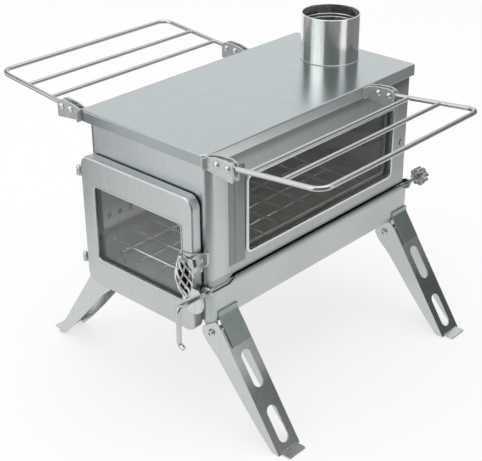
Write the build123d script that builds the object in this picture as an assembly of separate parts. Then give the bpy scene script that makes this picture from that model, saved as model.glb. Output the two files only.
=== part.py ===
from build123d import *
import os
from math import asin, cos, pi, radians, sin

os.makedirs("parts", exist_ok=True)

# Tent wood stove, in millimetres. +X is the glazed side, -Y the door, +Z up, floor at z = 0.
# Everything is worked out about the middle of the lid and moved by FRAME_Y when it is saved,
# so that the origin lies below the middle of the whole part.

# Lid and flue collar
LID_W, LID_L = 168.0, 326.4
LID_TOP = 296.0
LID_T = 2.0
SKIRT = 11.7
LID_CORNER_R = 5.0
COLLAR_R = 31.7
COLLAR_T = 1.2
COLLAR_H = 50.0
COLLAR_Y = LID_L / 2 - 44.2

# Body shell, base tray and the slot between them
SHEET = 1.5
BODY_W = LID_W - 2 * LID_T
BODY_Y0, BODY_Y1 = -LID_L / 2 + LID_T + 4.2, LID_L / 2 - LID_T - 0.2
BODY_R = 10.0
BASE_STEP = 2.5
BASE_Z0, BASE_Z1 = 120.0, 158.0
BASE_HALF = BODY_W / 2 + BASE_STEP
BASE_Y0, BASE_Y1 = BODY_Y0 - 1.5, BODY_Y1 + BASE_STEP
BASE_R = 8.0
BASE_EDGE_R = 1.3
SLOT = 3.0
BODY_Z0 = BASE_Z1 + SLOT
LID_UNDER = LID_TOP - LID_T
SILL_HALF = BODY_W / 2 - 7.5
SILL_Y0, SILL_Y1 = BODY_Y0 + 6.5, BODY_Y1 - 7.0

# Fire door and its window
DOOR_X0, DOOR_X1 = -BODY_W / 2, BODY_W / 2 - 8.5
DOOR_Z0, DOOR_Z1 = BASE_Z0 - 11.5, LID_TOP - 44.7
DOOR_FACE, DOOR_BACK = BASE_Y0 - 11.0, BASE_Y0 - 0.5
DOOR_R = 12.0
DOOR_EDGE_R = 2.6
PANE_X0, PANE_X1 = DOOR_X0 + 18.5, DOOR_X1 - 15.5
PANE_Z0, PANE_Z1 = DOOR_Z0 + 31.5, DOOR_Z1 - 29.8
PANE_R = 4.5
PANE_T = 3.5
PORT_X0, PORT_X1 = DOOR_X0 + 12.0, DOOR_X1 - 13.5
PORT_Z0, PORT_Z1 = DOOR_Z0 + 25.5, DOOR_Z1 - 29.3
HINGE_X, HINGE_Y = DOOR_X0 - 7.5, DOOR_FACE + 4.5
HINGE_Z = (DOOR_Z0 + 18.8, DOOR_Z1 - 26.0)
KNUCKLE_R, KNUCKLE_H = 3.0, 2.6
HINGE_PIN_R = 1.5

# Side window
WIN_Y0, WIN_Y1 = -104.0, 126.0
WIN_Z0, WIN_Z1 = BODY_Z0 + 16.0, LID_UNDER - 39.0
WIN_R = 4.0
RIM_W, RIM_H = 3.5, 2.2
ROPE_T = 2.0
GLASS_X = BODY_W / 2 - SHEET - ROPE_T
RETAINER_GAP = 13.0

# Latch
LATCH_X, LATCH_Z = DOOR_X1 - 9.5, 189.0
LATCH_FACE = DOOR_FACE - 0.5
LATCH_T = 1.6
LATCH_BOLT_R = 2.2
CAGE_X, CAGE_Y, CAGE_TOP = LATCH_X + 12.9, LATCH_FACE - 17.0, LATCH_Z + 13.6
CAGE_L, CAGE_TILT = 40.0, 6.9
CAGE_R, CAGE_END_R, CAGE_WIRE_R = 7.7, 2.2, 1.1
CAGE_WIRES, CAGE_TURN = 7, 170.0
KEEPER_Z0, KEEPER_Z1 = LATCH_Z - 8.0, LATCH_Z + 5.0
KEEPER_X = DOOR_X1 + 0.8

# Air control rod
ROD_X, ROD_Z, ROD_R = BASE_HALF - 4.3, BASE_Z1 - 4.9, 2.5
ROD_FRONT, ROD_REAR = BASE_Y0 - 38.5, BASE_Y1 + 30.0
ROD_DROP = 113.0
SHIELD_R, SHIELD_T = 14.0, 1.6
SHIELD_X0, SHIELD_Y = DOOR_X1 + 0.8, DOOR_FACE - 9.1
KNOB_R, KNOB_T = 10.5, 7.0

# Grate
GRATE_Z, GRATE_R, GRATE_PITCH = BASE_Z1 - 9.0, 1.7, 28.0
GRATE_HALF = SILL_HALF - 4.5

# Legs: s runs down the leg from its pivot, n runs square out of it
SPLAY = radians(33.7)
PIVOT_X, PIVOT_Z = BASE_HALF - 6.0, BASE_Z0 - 16.0
LEG_HALF = 15.5
LEG_FRONT_Y, LEG_REAR_Y = BASE_Y0 + 22.0, BASE_Y1 - 18.0
WEB_N = 15.4
LEG_TOP = -9.0
LEG_BOLT_R = 2.5
STOP_END = 21.0
LEG_L = (PIVOT_Z + WEB_N * sin(SPLAY)) / cos(SPLAY)
SLOT_HALF = 6.6
SLOTS = ((28.0, 67.3), (LEG_L - 47.3, LEG_L - 8.3))

# Shelves
SHELF_PIVOT_X, SHELF_STOP_X, SHELF_PIN_Z = LID_W / 2 + 28.0, LID_W / 2 + 15.0, LID_TOP - 4.0
SHELF_RISE = 5.9
SHELF_REACH = 102.3
SHELF_Y0, SHELF_Y1 = -158.6, 78.0
SHELF_BARS = (21.9, 58.9)
SHELF_R, BAR_R = 2.4, 2.1
SHELF_CORNER_R = 12.0
SHELF_PIN_R = 2.0
CHEEK_IN, CHEEK_OUT = 2.7, 4.2

# Clearances
RUN = 0.05
SIDE = 0.25

FRAME_Y = (-(ROD_FRONT - ROD_R) - (ROD_REAR + 1.0)) / 2


def save(name, *solids):
    """Write one node, moved into the shared frame."""
    placed = [Pos(0, FRAME_Y, 0) * solid for solid in solids]
    export_step(placed[0] if len(placed) == 1 else Compound(children=placed), f"parts/{name}.step")


def block(x0, x1, y0, y1, z0, z1):
    """A box from its six limits."""
    return Pos((x0 + x1) / 2, (y0 + y1) / 2, (z0 + z1) / 2) * Box(x1 - x0, y1 - y0, z1 - z0)


def upright(x0, x1, y0, y1, z0, z1, r):
    """A box whose upright edges are rounded."""
    outline = Pos((x0 + x1) / 2, (y0 + y1) / 2) * RectangleRounded(x1 - x0, y1 - y0, r)
    return Pos(0, 0, z0) * extrude(outline, z1 - z0)


def facing_y(sketch, y0, y1):
    """Extrude a sketch drawn in X and Z from y0 to y1."""
    return extrude(Plane((0, y1, 0), x_dir=(1, 0, 0), z_dir=(0, -1, 0)) * sketch, y1 - y0)


def facing_x(sketch, x0, x1):
    """Extrude a sketch drawn in Y and Z from x0 to x1."""
    return extrude(Plane((x0, 0, 0), x_dir=(0, 1, 0), z_dir=(1, 0, 0)) * sketch, x1 - x0)


def rect(a0, a1, b0, b1, r=0.0):
    """A rectangle from its limits, with rounded corners when r is set."""
    size = (a1 - a0, b1 - b0)
    face = RectangleRounded(*size, r) if r else Rectangle(*size)
    return Pos((a0 + a1) / 2, (b0 + b1) / 2) * face


def polygon(points, r=0.0):
    """A closed outline through points, with its corners rounded when r is set."""
    face = make_face(Polyline(*points, close=True))
    return fillet(face.vertices(), r) if r else face


def bar_y(x, z, r, y0, y1):
    """A round bar along Y."""
    return facing_y(Pos(x, z) * Circle(r), y0, y1)


def bar_z(x, y, r, z0, z1):
    """A round bar along Z."""
    return Pos(x, y, z0) * extrude(Circle(r), z1 - z0)


def wire(path, r):
    """A round wire swept along a path."""
    return sweep(Plane(origin=path @ 0, z_dir=path % 0) * Circle(r), path=path)


def dome_y(x, y, z, r, h, way):
    """A domed head on a face that looks along Y, way +1 or -1."""
    ball = (r * r + h * h) / (2 * h)
    head = Pos(x, y - way * (ball - h), z) * Sphere(ball)
    return head & bar_y(x, z, r, min(y, y + way * h), max(y, y + way * h))


def left(shape):
    """The same shape on the other side of the stove."""
    return mirror(shape, about=Plane.YZ)


# Lid and collar
lid = upright(-LID_W / 2, LID_W / 2, -LID_L / 2, LID_L / 2, LID_TOP - SKIRT, LID_TOP, LID_CORNER_R)
lid = fillet(lid.edges().group_by(Axis.Z)[-1], LID_T * 0.95)
lid -= upright(-LID_W / 2 + LID_T, LID_W / 2 - LID_T, -LID_L / 2 + LID_T, LID_L / 2 - LID_T,
               LID_TOP - SKIRT, LID_UNDER, LID_CORNER_R - LID_T)
lid -= bar_z(0, COLLAR_Y, COLLAR_R - COLLAR_T, LID_UNDER - 1, LID_TOP + 1)
save("top_plate", lid)

collar_top = LID_TOP + COLLAR_H
collar = bar_z(0, COLLAR_Y, COLLAR_R, LID_TOP, collar_top)
collar -= bar_z(0, COLLAR_Y, COLLAR_R - COLLAR_T, LID_TOP, collar_top)
save("flue_collar", collar)
ring = Pos(0, COLLAR_Y, LID_TOP) * (extrude(Circle(COLLAR_R + 1.8), 1.6) - extrude(Circle(COLLAR_R), 1.6))
save("collar_ring", ring)

# Body shell with the window on the right and the firing port in front
half = BODY_W / 2
shell = upright(-half, half, BODY_Y0, BODY_Y1, BODY_Z0, LID_UNDER, BODY_R)
shell -= upright(-half + SHEET, half - SHEET, BODY_Y0 + SHEET, BODY_Y1 - SHEET,
                 BODY_Z0, LID_UNDER, BODY_R - SHEET)
shell -= facing_x(rect(WIN_Y0, WIN_Y1, WIN_Z0, WIN_Z1, WIN_R), half - 5, half + 5)
port = facing_y(rect(PORT_X0, PORT_X1, PORT_Z0, PORT_Z1, PANE_R), BASE_Y0 - 2, SILL_Y0 + 3)
shell -= port
save("body_shell", shell)

front = facing_y(rect(PORT_X0 - 8.5, PORT_X1 + 10, BASE_Z1 + 0.2, PORT_Z1 + 14), BASE_Y0, BODY_Y0) - port
save("front_plate", front)

# Base tray, cut for the rod at both ends of its right side
tray = upright(-BASE_HALF, BASE_HALF, BASE_Y0, BASE_Y1, BASE_Z0, BASE_Z1, BASE_R)
tray = fillet(tray.edges().group_by(Axis.Z)[-1], BASE_EDGE_R)
tray -= upright(-BASE_HALF + SHEET, BASE_HALF - SHEET, BASE_Y0 + SHEET, BASE_Y1 - SHEET,
                BASE_Z0 + SHEET, BASE_Z1, BASE_R - SHEET)
notch_z = ROD_Z - ROD_R + 1.2
front_notch = polygon([(BASE_Y0 - 1, notch_z), (BASE_Y0 + 27.5, notch_z), (BASE_Y0 + 36.5, BASE_Z1 + 1),
                       (BASE_Y0 - 1, BASE_Z1 + 1)])
rear_notch = polygon([(BASE_Y1 + 1, notch_z), (BASE_Y1 - 9.5, notch_z), (BASE_Y1 - 15.5, BASE_Z1 + 1),
                      (BASE_Y1 + 1, BASE_Z1 + 1)])
tray -= facing_x(front_notch, SILL_HALF + 2, BASE_HALF + 1)
tray -= facing_x(rear_notch, SILL_HALF + 2, BASE_HALF + 1)
tray -= bar_y(ROD_X, ROD_Z, ROD_R + SIDE, BASE_Y0 - 1, BASE_Y0 + BASE_R)
tray -= bar_y(ROD_X, ROD_Z, ROD_R + SIDE, BASE_Y1 - BASE_R, BASE_Y1 + 1)
tray -= port
save("base_tray", tray)

# Sill that joins the shell to the tray behind the slot
sill = upright(-SILL_HALF, SILL_HALF, SILL_Y0, SILL_Y1, BASE_Z0 + SHEET, BODY_Z0 + SHEET, 4)
sill += upright(-half + SHEET, half - SHEET, BODY_Y0 + SHEET, BODY_Y1 - SHEET,
                BODY_Z0, BODY_Z0 + SHEET, BODY_R - SHEET)
sill -= upright(-SILL_HALF + SHEET, SILL_HALF - SHEET, SILL_Y0 + SHEET, SILL_Y1 - SHEET,
                BASE_Z0 + SHEET, BODY_Z0 + SHEET, 2.5)
sill -= block(PORT_X0 - 1, PORT_X1 + 1, BASE_Y0, SILL_Y0 + 3, PORT_Z0 - 1, BODY_Z0 + 2)
save("sill", sill)

floor_top = BASE_Z0 + SHEET + 2.0
save("floor_liner", upright(-SILL_HALF + SHEET + 0.5, SILL_HALF - SHEET - 0.5, SILL_Y0 + SHEET + 0.5,
                            SILL_Y1 - SHEET - 0.5, BASE_Z0 + SHEET, floor_top, 2.0))

# Left liner with its row of air holes, and the smoke baffle under the lid
liner = block(-SILL_HALF - SHEET, -SILL_HALF, SILL_Y0 + 2.5, SILL_Y1 - 4.0, BODY_Z0 + SHEET, LID_UNDER)
for i in range(20):
    hole = Pos(SILL_Y0 + 10.5 + 14.5 * i, BODY_Z0 + 14.5) * Circle(3.2)
    liner -= facing_x(hole, -SILL_HALF - SHEET - 1, -SILL_HALF + 1)
save("left_liner", liner)

low, high = LID_UNDER - 32.0, LID_UNDER - 22.0
start, middle, end = -70.0, 8.0, 84.0
arch = ThreePointArc((start, low), (middle, high), (end, low))
arch_top = ThreePointArc((end, low + SHEET), (middle, high + SHEET), (start, low + SHEET))
baffle = facing_x(make_face([arch, Line((end, low), (end, low + SHEET)), arch_top,
                             Line((start, low + SHEET), (start, low))]), -GRATE_HALF, GRATE_HALF)
save("baffle", baffle)
below = facing_x(make_face([arch_top, Polyline((start, low + SHEET), (start, low - 12), (end, low - 12),
                                               (end, low + SHEET))]), -GRATE_HALF, GRATE_HALF)
save("baffle_hangers", *(block(x - 5, x + 5, y, y + SHEET, low - 7, LID_UNDER) - below
                         for y in (start + 4.0, end - 6.0) for x in (8.0 - GRATE_HALF, GRATE_HALF - 8.0)))

# Wire grate on four feet: cross rods welded over long rods
grate_x = [GRATE_HALF - 7.0 - GRATE_PITCH * i for i in range(4, -1, -1)]
grate_y = [SILL_Y0 + 11.5 + GRATE_PITCH * i for i in range(11)]
low_z = GRATE_Z - 2 * GRATE_R
cross = Rot(0, 90, 0) * extrude(Circle(GRATE_R), 2 * GRATE_HALF)
save("grate_cross_rods", *(Pos(-GRATE_HALF, y, GRATE_Z) * cross for y in grate_y))
save("grate_long_rods", *(bar_y(x, low_z, GRATE_R, grate_y[0] - 8, grate_y[-1] + 6) for x in grate_x))
save("grate_feet", *(bar_z(x, y, GRATE_R, floor_top, low_z - GRATE_R)
                     for x in (grate_x[0], grate_x[-1]) for y in (grate_y[0] - 6, grate_y[-1] + 4)))

# Side window: rolled rim, rope, glass, retainer and its screws
rim = facing_x(rect(WIN_Y0 - RIM_W, WIN_Y1 + RIM_W, WIN_Z0 - RIM_W, WIN_Z1 + RIM_W, WIN_R + RIM_W),
               half, half + RIM_H)
rim = fillet(rim.edges().group_by(Axis.X)[-1], 1.4)
rim -= facing_x(rect(WIN_Y0, WIN_Y1, WIN_Z0, WIN_Z1, WIN_R), half - 1, half + RIM_H + 1)
save("side_window_rim", rim)
glass_y, glass_z = (WIN_Y0 - 5, WIN_Y1 + 5), (WIN_Z0 - 5, WIN_Z1 + 5)
save("side_glass", facing_x(rect(*glass_y, *glass_z, 4), GLASS_X - PANE_T, GLASS_X))
rope = facing_x(rect(glass_y[0] - 1, glass_y[1] + 1, glass_z[0] - 1, glass_z[1] + 1, 5),
                GLASS_X, half - SHEET)
rope -= facing_x(rect(WIN_Y0 + 1.5, WIN_Y1 - 1.5, WIN_Z0 + 1.5, WIN_Z1 - 1.5, 4), GLASS_X - 1, half)
save("side_gasket", rope)
ret_x = GLASS_X - PANE_T
ret_y, ret_z = (glass_y[0] - 8, glass_y[1] + 8), (BODY_Z0 + SHEET + 0.2, glass_z[1] + 8)
retainer = facing_x(rect(*ret_y, *ret_z, 3), ret_x - SHEET, ret_x)
retainer -= facing_x(rect(WIN_Y0 + 4, WIN_Y1 - 4, WIN_Z0 + 4, WIN_Z1 - 4, 4), ret_x - 3, ret_x + 1)
screws = []
fore, aft, mid = ret_y[0] + 4, ret_y[1] - 4, (ret_y[0] + ret_y[1]) / 2
high, low = ret_z[1] - 4, ret_z[0] + 5
for y, z in ((fore, high), (mid, high), (aft, high), (fore, low), (aft, low)):
    shank = facing_x(Pos(y, z) * Circle(1.6), ret_x - SHEET, ret_x)
    retainer -= shank
    screws.append(shank + facing_x(Pos(y, z) * Circle(2.0), ret_x, half - SHEET)
                  + facing_x(Pos(y, z) * Circle(3.5), ret_x - SHEET - 1.8, ret_x - SHEET))
save("side_retainer", retainer)
save("side_screws", *screws)

# Fire door: drawn pan, glass, gaskets and retainer
pan = facing_y(rect(DOOR_X0, DOOR_X1, DOOR_Z0, DOOR_Z1, DOOR_R), DOOR_FACE, DOOR_BACK)
pan = fillet(pan.edges().group_by(Axis.Y)[0], DOOR_EDGE_R)
pan -= facing_y(rect(DOOR_X0 + SHEET, DOOR_X1 - SHEET, DOOR_Z0 + SHEET, DOOR_Z1 - SHEET, DOOR_R - SHEET),
                DOOR_FACE + SHEET, DOOR_BACK + 1)
pan -= facing_y(rect(PANE_X0, PANE_X1, PANE_Z0, PANE_Z1, PANE_R), DOOR_FACE - 1, DOOR_BACK)
save("door_pan", pan)
seal_y = DOOR_FACE + SHEET
seal = facing_y(rect(PANE_X0 - 7, PANE_X1 + 6.2, PANE_Z0 - 7, PANE_Z1 + 7, 6), seal_y, seal_y + 1.5)
seal -= facing_y(rect(PANE_X0 - 1, PANE_X1 + 1, PANE_Z0 - 1, PANE_Z1 + 1, 8), seal_y - 1, seal_y + 3)
save("door_glass_seal", seal)
glass_front = seal_y + 1.5
save("door_glass", facing_y(rect(PANE_X0 - 6, PANE_X1 + 6, PANE_Z0 - 6, PANE_Z1 + 6, 5),
                            glass_front, glass_front + PANE_T))
back = glass_front + PANE_T
frame = facing_y(rect(PANE_X0 - 13, PANE_X1 + 12, PANE_Z0 - 13, PANE_Z1 + 13, 6), back, back + 1.0)
frame -= facing_y(rect(PANE_X0 - 3, PANE_X1 + 3, PANE_Z0 - 2, PANE_Z1 + 3, 6), back - 1, back + 2)
studs = []
for x in (PANE_X0 - 9.5, PANE_X1 + 8.7):
    for z in (PANE_Z0 - 9.5, (PANE_Z0 + PANE_Z1) / 2, PANE_Z1 + 9.5):
        studs.append(bar_y(x, z, 1.9, seal_y, back) + bar_y(x, z, 1.4, back, back + 1.0))
        frame -= bar_y(x, z, 1.4, back - 1, back + 2)
save("door_retainer", frame)
save("door_studs", *studs)
rope_y = back + 1.0
rope = facing_y(rect(PORT_X0 - 8, PORT_X1 + 8, PORT_Z0 - 8, PORT_Z1 + 8, 12), rope_y, BASE_Y0 - SIDE)
rope -= facing_y(rect(PORT_X0 - 3, PORT_X1 + 3, PORT_Z0 - 3, PORT_Z1 + 3, 10), rope_y - 1, BASE_Y0)
save("door_gasket", rope)

# Hinge: knuckles on the door below ears on the body, with two ball-headed pins
knuckles, ears, pins = [], [], []
for z in HINGE_Z:
    barrel = bar_z(HINGE_X, HINGE_Y, KNUCKLE_R, z, z + KNUCKLE_H)
    barrel += block(HINGE_X, DOOR_X0, HINGE_Y - 1, HINGE_Y + 1.5, z, z + KNUCKLE_H)
    knuckles.append(barrel - bar_z(HINGE_X, HINGE_Y, HINGE_PIN_R + RUN, z - 1, z + KNUCKLE_H + 1))
    low = z + KNUCKLE_H + SIDE
    top = low + KNUCKLE_H
    wall = BASE_HALF if z < BASE_Z1 else half
    ear = bar_z(HINGE_X, HINGE_Y, KNUCKLE_R, low, top)
    ear += block(HINGE_X - 1.0, HINGE_X + 0.8, HINGE_Y, BODY_Y0 + 21, low, top)
    ear += block(HINGE_X, -wall, BODY_Y0 + 9, BODY_Y0 + 21, low, top)
    ears.append(ear - bar_z(HINGE_X, HINGE_Y, HINGE_PIN_R, low - 1, top + 1))
    pin = bar_z(HINGE_X, HINGE_Y, HINGE_PIN_R, z - 1.0, top + 1.0)
    pin += Pos(HINGE_X, HINGE_Y, top + 2.2) * Sphere(2.9) & block(
        HINGE_X - 4, HINGE_X + 4, HINGE_Y - 4, HINGE_Y + 4, top, top + 8)
    pins.append(pin)
save("door_knuckles", *knuckles)
save("hinge_ears", *ears)
save("hinge_pins", *pins)

# Latch: plate on a bolt in the door, with a twisted wire cage for a grip
plate = polygon([(-6.5, -4.5), (-6.5, 5.0), (6.0, 7.0), (30.0, 16.0), (30.0, 5.0), (8.5, -15.0),
                 (4.0, -13.0)], 1.6)
latch = facing_y(Pos(LATCH_X, LATCH_Z) * plate, LATCH_FACE - LATCH_T, LATCH_FACE)
latch -= bar_y(LATCH_X, LATCH_Z, LATCH_BOLT_R + RUN, LATCH_FACE - 5, LATCH_FACE + 5)
window = Pos(LATCH_X, LATCH_Z) * polygon([(10.5, 2.5), (24.5, 9.0), (24.5, 5.5), (12.5, -6.0)], 0.8)
latch -= facing_y(window, LATCH_FACE - 5, LATCH_FACE + 5)
save("latch_plate", latch)
bolt = bar_y(LATCH_X, LATCH_Z, LATCH_BOLT_R, LATCH_FACE - LATCH_T - SIDE, DOOR_FACE)
bolt += dome_y(LATCH_X, LATCH_FACE - LATCH_T - SIDE, LATCH_Z, 4.0, 2.0, -1)
save("latch_bolt", bolt)


def cage_point(t, start):
    """A point on one wire of the cage, t from 0 at the top to 1 at the tip."""
    r = CAGE_END_R + (CAGE_R - CAGE_END_R) * sin(pi * t)
    a = radians(start + CAGE_TURN * t)
    return (r * cos(a), r * sin(a), -CAGE_L * t)


cage = bar_z(0, 0, CAGE_END_R + 1.4, -1, 1.8)
cage = cage.fuse(bar_z(0, 0, CAGE_END_R + 1.4, -CAGE_L - 1.5, -CAGE_L + 1), *(
    wire(Spline(*[cage_point(k / 10, 360 * i / CAGE_WIRES) for k in range(11)]), CAGE_WIRE_R)
    for i in range(CAGE_WIRES)))
cage = Pos(CAGE_X, CAGE_Y, CAGE_TOP) * (Rot(0, -CAGE_TILT, 0) * cage)
stem_from = Vector(CAGE_X, CAGE_Y, CAGE_TOP)
stem_to = Vector(LATCH_X + 8.3, LATCH_FACE - LATCH_T / 2, LATCH_Z + 3.0)
stem_way = stem_to - stem_from
stem = Plane(origin=stem_from, z_dir=stem_way) * extrude(Circle(1.6), stem_way.length)
stem &= block(LATCH_X - 4, LATCH_X + 26, CAGE_Y - 5, LATCH_FACE - LATCH_T, LATCH_Z - 9, LATCH_Z + 21)
save("latch_cage", cage.fuse(stem))

lip_y = DOOR_FACE + 0.15
keeper = block(KEEPER_X + 1.2, KEEPER_X + 5.2, lip_y, BODY_Y0 + 7, KEEPER_Z0, KEEPER_Z1)
keeper -= upright(-half, half, BODY_Y0, BODY_Y1, KEEPER_Z0, KEEPER_Z1, BODY_R)
keeper += block(KEEPER_X, half + 2.0, lip_y, lip_y + SHEET, KEEPER_Z0, KEEPER_Z1)
save("latch_keeper", keeper)

# Air control rod with its guides, front disc and rear knob
rod_path = FilletPolyline((ROD_X, ROD_REAR - 1, ROD_Z), (ROD_X, ROD_FRONT, ROD_Z),
                          (ROD_X, ROD_FRONT, ROD_DROP), (ROD_X + 6, ROD_FRONT, ROD_DROP - 2), radius=4.0)
rod = wire(rod_path, ROD_R)
save("control_rod", rod)
guides = []
for y0, y1 in ((BASE_Y0 - 2.0, BASE_Y0), (BASE_Y1, BASE_Y1 + 2.0)):
    guides.append(bar_y(ROD_X, ROD_Z, 6.0, y0, y1) - bar_y(ROD_X, ROD_Z, ROD_R + RUN, y0 - 1, y1 + 1))
save("rod_guides", *guides)
shield = bar_y(ROD_X, ROD_Z, SHIELD_R, SHIELD_Y, SHIELD_Y + SHIELD_T)
shield += bar_y(ROD_X, ROD_Z, 4.5, SHIELD_Y, SHIELD_Y + 5)
shield -= block(SHIELD_X0 - 2 * SHIELD_R, SHIELD_X0, SHIELD_Y - 1, SHIELD_Y + 6, ROD_Z - 20, ROD_Z + 20)
shield += block(SHIELD_X0, SHIELD_X0 + 1.6, SHIELD_Y, BASE_Y0, ROD_Z - 12.6, ROD_Z - 6.6)
shield -= bar_y(ROD_X, ROD_Z, ROD_R + RUN, SHIELD_Y - 1, SHIELD_Y + 6)
save("rod_shield", shield)
knob_y = ROD_REAR + 1 - KNOB_T
knob = bar_y(ROD_X, ROD_Z, KNOB_R, knob_y, knob_y + KNOB_T)
for i in range(8):
    a = 2 * pi * i / 8
    knob -= bar_y(ROD_X + (KNOB_R + 1.4) * cos(a), ROD_Z + (KNOB_R + 1.4) * sin(a), 2.8, knob_y - 1,
                  knob_y + KNOB_T + 1)
    b = a + pi / 8
    knob -= bar_y(ROD_X + 6.6 * cos(b), ROD_Z + 6.6 * sin(b), 1.3, knob_y - 1, knob_y + KNOB_T + 1)
knob -= bar_y(ROD_X, ROD_Z, ROD_R, knob_y - 1, ROD_REAR - 1)
save("rod_knob", knob)


# Legs, folding inwards about a bolt along Y and splayed against a stop
def leg_xz(s, n):
    """The X and Z of a point s down the leg and n out of it."""
    return (PIVOT_X + s * sin(SPLAY) + n * cos(SPLAY), PIVOT_Z - s * cos(SPLAY) + n * sin(SPLAY))


def make_leg(yc):
    """One right-hand leg as a bent channel with a turned foot."""
    end = LEG_L + 2.7
    web_in = WEB_N - SHEET
    corners = [leg_xz(0.6, web_in), leg_xz(0.6, WEB_N), leg_xz(end, WEB_N), leg_xz(end, web_in)]
    web = facing_y(polygon(corners), yc - LEG_HALF, yc + LEG_HALF)
    for s0, s1 in SLOTS:
        ends = [Pos(0, SLOT_HALF) * Circle(SLOT_HALF), Pos(0, s1 - s0 - SLOT_HALF) * Circle(SLOT_HALF)]
        outline = make_hull((ends[0] + ends[1]).edges())
        x, z = leg_xz(s0, WEB_N + 3)
        down = (sin(SPLAY), 0, -cos(SPLAY))
        plane = Plane((x, yc, z), x_dir=(0, 1, 0), z_dir=Vector(0, 1, 0).cross(Vector(*down)))
        web -= extrude(plane * outline, 8, both=True)
    reach = WEB_N - 0.5
    top = asin(-LEG_TOP / reach)
    swing = [leg_xz(-reach * sin(a), reach * cos(a)) for a in (top, top / 2, 0)]
    side = polygon([leg_xz(LEG_TOP, -9), *swing, leg_xz(0.6, WEB_N), leg_xz(end, WEB_N), leg_xz(end, 9.6),
                    leg_xz(end - 29, 3.4), leg_xz(end - 67, -2.3), leg_xz(27, -7.5), leg_xz(6, -13),
                    leg_xz(-3, -13)])
    leg = web
    for y0 in (yc - LEG_HALF, yc + LEG_HALF - SHEET):
        leg += facing_y(side, y0, y0 + SHEET)
    leg -= bar_y(PIVOT_X, PIVOT_Z, LEG_BOLT_R + RUN, yc - 20, yc + 20)
    leg -= block(0, 300, yc - 30, yc + 30, -30, 0)
    foot_x = leg_xz(LEG_L, WEB_N)[0]
    tab = upright(foot_x - 3, foot_x + 10.5, yc - 12, yc + 12, 0, SHEET, 1.4)
    return leg + tab


leg_front, leg_rear = make_leg(LEG_FRONT_Y), make_leg(LEG_REAR_Y)
save("leg_front_right", leg_front)
save("leg_rear_right", leg_rear)
save("leg_front_left", left(leg_front))
save("leg_rear_left", left(leg_rear))

brackets, stops, bolts = [], [], []
for yc in (LEG_FRONT_Y, LEG_REAR_Y):
    ear_out = LEG_HALF - SHEET - SIDE
    inner, outer = BASE_HALF - 22.5, BASE_HALF - 0.5
    ear = polygon([(inner, BASE_Z0), (outer, BASE_Z0), (outer, BASE_Z0 - 2), (PIVOT_X + 6.4, PIVOT_Z),
                   (PIVOT_X + 4, PIVOT_Z - 6), (PIVOT_X - 4, PIVOT_Z - 6), (PIVOT_X - 7, PIVOT_Z)])
    bracket = block(inner, outer, yc - ear_out, yc + ear_out, BASE_Z0 - SHEET, BASE_Z0)
    for y0 in (yc - ear_out, yc + ear_out - SHEET):
        bracket += facing_y(ear, y0, y0 + SHEET)
    bracket -= bar_y(PIVOT_X, PIVOT_Z, LEG_BOLT_R, yc - 20, yc + 20)
    gap_n = WEB_N + RUN
    stop_x = BASE_HALF + SHEET + 0.1
    stop = polygon([(BASE_HALF, BASE_Z0 + 9), (BASE_HALF, BASE_Z0 + 1.2), (BASE_HALF + 1.2, BASE_Z0 + 1.2),
                    leg_xz(STOP_END, gap_n), leg_xz(STOP_END, gap_n + SHEET), leg_xz(-9.7, gap_n + SHEET),
                    (stop_x, BASE_Z0 + 4), (stop_x, BASE_Z0 + 9)])
    stop = facing_y(stop, yc - LEG_HALF + 3.5, yc + LEG_HALF - 1.5)
    head = LEG_HALF + SIDE
    bolt = bar_y(PIVOT_X, PIVOT_Z, LEG_BOLT_R, yc - head, yc + head)
    for way in (-1, 1):
        bolt += dome_y(PIVOT_X, yc + way * head, PIVOT_Z, 4.0, 2.0, way)
    for group, solid in ((brackets, bracket), (stops, stop), (bolts, bolt)):
        group += [solid, left(solid)]
save("leg_brackets", *brackets)
save("leg_stops", *stops)
save("leg_bolts", *bolts)

# Wire shelves, folding up about the outer pin of each bracket
loop = FilletPolyline((0, SHELF_Y0, 0), (SHELF_REACH, SHELF_Y0, 0), (SHELF_REACH, SHELF_Y1, 0),
                      (0, SHELF_Y1, 0), radius=SHELF_CORNER_R)
shelf = wire(loop, SHELF_R)
for x in SHELF_BARS:
    shelf += bar_y(x, 0, BAR_R, SHELF_Y0, SHELF_Y1)
shelf = Rot(0, -SHELF_RISE, 0) * shelf
for y in (SHELF_Y0, SHELF_Y1):
    shelf += bar_y(0, 0, 5.0, y - SHELF_R, y + SHELF_R)
    tail_end = SHELF_STOP_X - SHELF_PIVOT_X - 4.5
    tail_top = -SHELF_PIN_R - 0.1
    tail = polygon([(-4.2, tail_top), (tail_end, tail_top), (tail_end, tail_top - 3.5),
                    (-1.0, tail_top - 3.5)])
    shelf += facing_y(tail, y - 2.0, y + 2.0)
    shelf -= bar_y(0, 0, SHELF_PIN_R + RUN, y - 5, y + 5)
shelf = Pos(SHELF_PIVOT_X, 0, SHELF_PIN_Z) * shelf
save("shelf_right", shelf)
save("shelf_left", left(shelf))

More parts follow.
